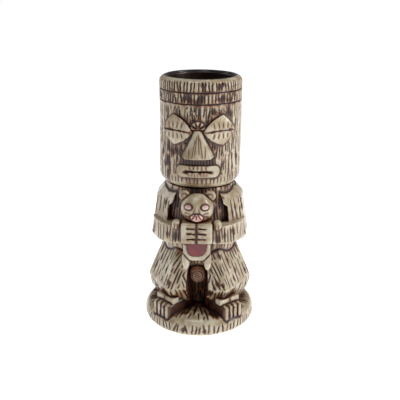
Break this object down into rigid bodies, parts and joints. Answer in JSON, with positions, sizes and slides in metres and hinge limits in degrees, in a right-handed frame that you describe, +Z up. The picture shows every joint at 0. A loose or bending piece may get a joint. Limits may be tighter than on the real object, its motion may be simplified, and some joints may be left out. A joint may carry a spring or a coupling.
{
  "type": "tiki mug",
  "caption": "Tall ceramic tiki mug shaped as a squatting idol that holds a small bear, with a round cup for its head and a round foot disc.",
  "frame": {"origin": "centre of the foot disc's underside, on the surface that the mug stands on", "axes": "+Z up along the mug; the idol faces -Y; its left side is at +X"},
  "size_m": [0.0896, 0.0896, 0.2],
  "materials": {
    "cream_glaze": "glossy cream glaze with a brown wash in the carved lines",
    "brown_glaze": "glossy brown glaze",
    "dark_glaze": "glossy near-black glaze inside the cup",
    "red_glaze": "glossy dark red glaze",
    "pink_glaze": "glossy pink glaze"
  },
  "bodies": {
    "root": {"foot_disc": "cream_glaze", "torso": "cream_glaze", "head_cup": "cream_glaze", "crown_band": "cream_glaze", "rim_band": "cream_glaze", "inner_glaze": "dark_glaze", "left_eye": "cream_glaze", "right_eye": "cream_glaze", "nose": "cream_glaze", "brow_fan": "cream_glaze", "teeth_row": "brown_glaze", "mouth": "cream_glaze", "left_hand": "cream_glaze", "right_hand": "cream_glaze", "left_arm": "cream_glaze", "right_arm": "cream_glaze", "bear_head": "cream_glaze", "left_bear_ear": "cream_glaze", "right_bear_ear": "cream_glaze", "left_bear_eye": "pink_glaze", "right_bear_eye": "pink_glaze", "bear_muzzle": "pink_glaze", "left_bear_paw": "cream_glaze", "right_bear_paw": "cream_glaze", "belly_patch": "red_glaze", "bear_body": "cream_glaze", "left_bear_leg": "cream_glaze", "right_bear_leg": "cream_glaze", "left_leg": "cream_glaze", "right_leg": "cream_glaze", "left_foot": "cream_glaze", "right_foot": "cream_glaze", "left_anklet": "cream_glaze", "right_anklet": "cream_glaze", "pendant": "brown_glaze"}
  },
  "joints": []
}
